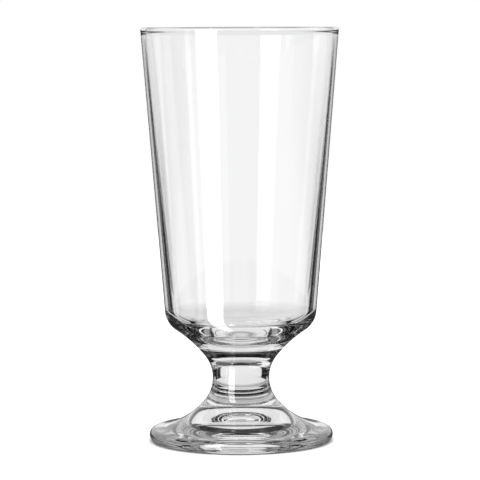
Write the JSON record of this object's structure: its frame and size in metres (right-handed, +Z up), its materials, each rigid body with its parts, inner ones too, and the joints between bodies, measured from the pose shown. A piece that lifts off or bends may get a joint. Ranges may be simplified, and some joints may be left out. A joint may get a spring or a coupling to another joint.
{
  "type": "footed highball glass",
  "caption": "Clear footed highball glass: a tall tapered bowl with a thick base on a short waisted stem and a round flared foot, for long drinks.",
  "frame": {"origin": "on the glass's axis, at the level of the table that the foot stands on", "axes": "+Z up along the axis of the glass, towards the rim; X and Y across it, all directions alike"},
  "size_m": [0.073, 0.073, 0.1533],
  "materials": {
    "bowl_glass": "clear, fire-polished",
    "stem_glass": "clear, pressed and fire-polished",
    "foot_glass": "clear, pressed and fire-polished"
  },
  "bodies": {
    "root": {"bowl": "bowl_glass", "stem": "stem_glass", "foot": "foot_glass"}
  },
  "joints": []
}
